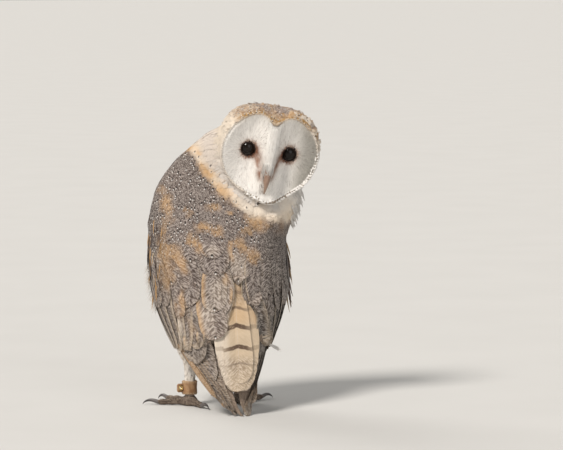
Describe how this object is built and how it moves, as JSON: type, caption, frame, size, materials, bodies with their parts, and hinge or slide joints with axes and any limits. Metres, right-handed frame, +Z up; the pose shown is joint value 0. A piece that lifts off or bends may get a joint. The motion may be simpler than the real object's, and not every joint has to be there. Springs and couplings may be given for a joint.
{
  "type": "barn owl",
  "caption": "Still life-size barn owl that stands upright with folded wings, its head turned back over its right shoulder, with an anklet on each leg.",
  "frame": {"origin": "the middle of the underside of the whole bird's box, on the level of the floor", "axes": "+Z up; the bird's body faces -Y and its left side is +X; its head is turned back over its right shoulder, towards +Y and a little -X"},
  "size_m": [0.167, 0.1484, 0.315],
  "materials": {
    "head_feathers": "soft grey, gold and cream feathers with small pale and dark dots",
    "face_feathers": "silky white, fine and radial, rusty at the inner corners of the eyes",
    "bill": "smooth pinkish ivory horn",
    "eye": "wet black-brown with a clear cornea",
    "neck_feathers": "cream and buff, with sparse dark dots",
    "body_feathers": "soft white below with sparse dots, grey and gold above",
    "wing_feathers": "finely vermiculated brown-grey over gold, with dark and white drops",
    "flight_feathers": "smooth vanes, buff and grey-brown with darker bars",
    "tail_feathers": "cream vanes with narrow grey-brown bars",
    "leg_feathers": "short dense white down",
    "toe_skin": "matt grey-brown scaly skin with sparse bristles",
    "claw": "dark steel-grey horn, semi-gloss",
    "anklet_leather": "worn tan leather with darker edges",
    "eyelet_brass": "tarnished brass"
  },
  "bodies": {
    "root": {"head": "head_feathers", "face_disc": "face_feathers", "bill_upper": "bill", "bill_lower": "bill", "eye_left": "eye", "eye_right": "eye", "neck": "neck_feathers", "trunk": "body_feathers", "tail": "tail_feathers", "wing_left_coverts": "wing_feathers", "wing_left_secondaries": "wing_feathers", "wing_left_primaries": "flight_feathers", "leg_left": "leg_feathers", "shank_left": "leg_feathers", "foot_left": "toe_skin", "anklet_left": "anklet_leather", "eyelet_left": "eyelet_brass", "toe_middle_left": "toe_skin", "claw_middle_left": "claw", "toe_inner_left": "toe_skin", "claw_inner_left": "claw", "toe_outer_left": "toe_skin", "claw_outer_left": "claw", "toe_rear_left": "toe_skin", "claw_rear_left": "claw", "wing_right_coverts": "wing_feathers", "wing_right_secondaries": "wing_feathers", "wing_right_primaries": "flight_feathers", "leg_right": "leg_feathers", "shank_right": "leg_feathers", "foot_right": "toe_skin", "anklet_right": "anklet_leather", "eyelet_right": "eyelet_brass", "toe_middle_right": "toe_skin", "claw_middle_right": "claw", "toe_inner_right": "toe_skin", "claw_inner_right": "claw", "toe_outer_right": "toe_skin", "claw_outer_right": "claw", "toe_rear_right": "toe_skin", "claw_rear_right": "claw"}
  },
  "joints": []
}
